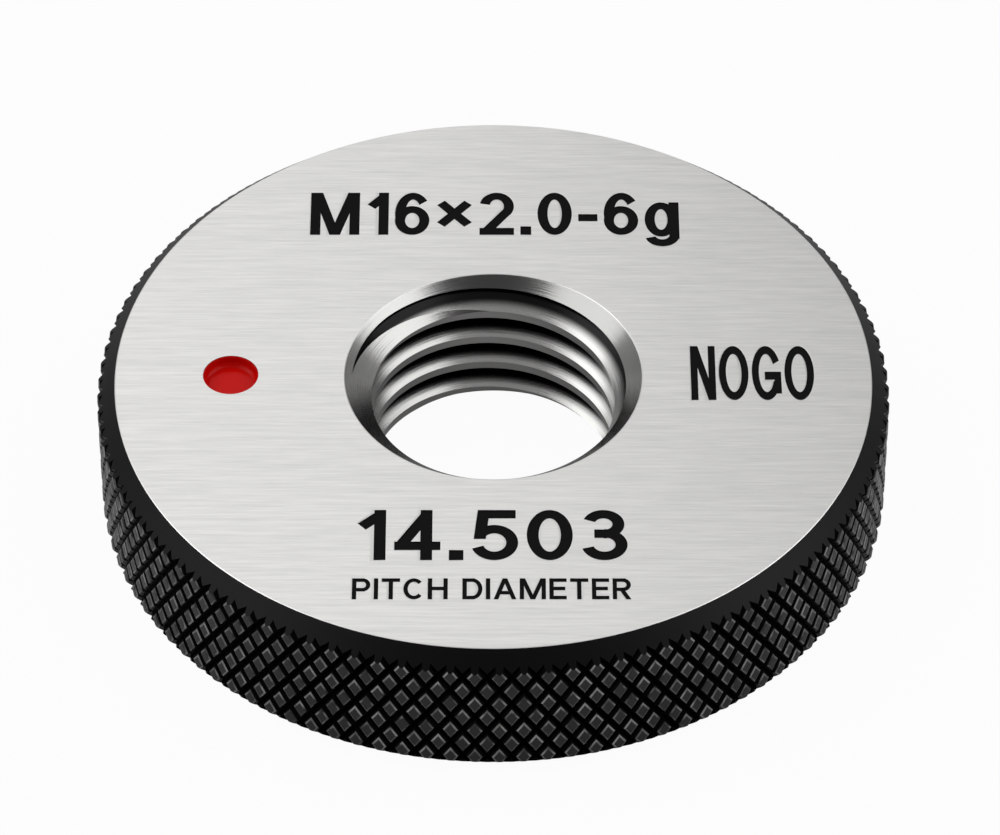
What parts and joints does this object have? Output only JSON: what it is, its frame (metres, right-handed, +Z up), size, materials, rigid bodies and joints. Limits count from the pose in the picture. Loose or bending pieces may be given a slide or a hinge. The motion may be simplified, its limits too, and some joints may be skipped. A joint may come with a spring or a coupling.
{
  "type": "thread ring gauge",
  "caption": "Knurled steel ring gauge with an internal metric thread, for checking the thread on a shaft or bolt.",
  "frame": {"origin": "on the thread's axis, in the bottom face", "axes": "+Z up along the thread's axis, towards the marked face; the red mark is on the -X side"},
  "size_m": [0.045, 0.045, 0.009],
  "materials": {
    "hardened_steel": "ground faces, with a black oxide rim and chamfers",
    "red_enamel": "gloss"
  },
  "bodies": {
    "root": {"gauge_ring": "hardened_steel", "red_mark": "red_enamel"}
  },
  "joints": []
}
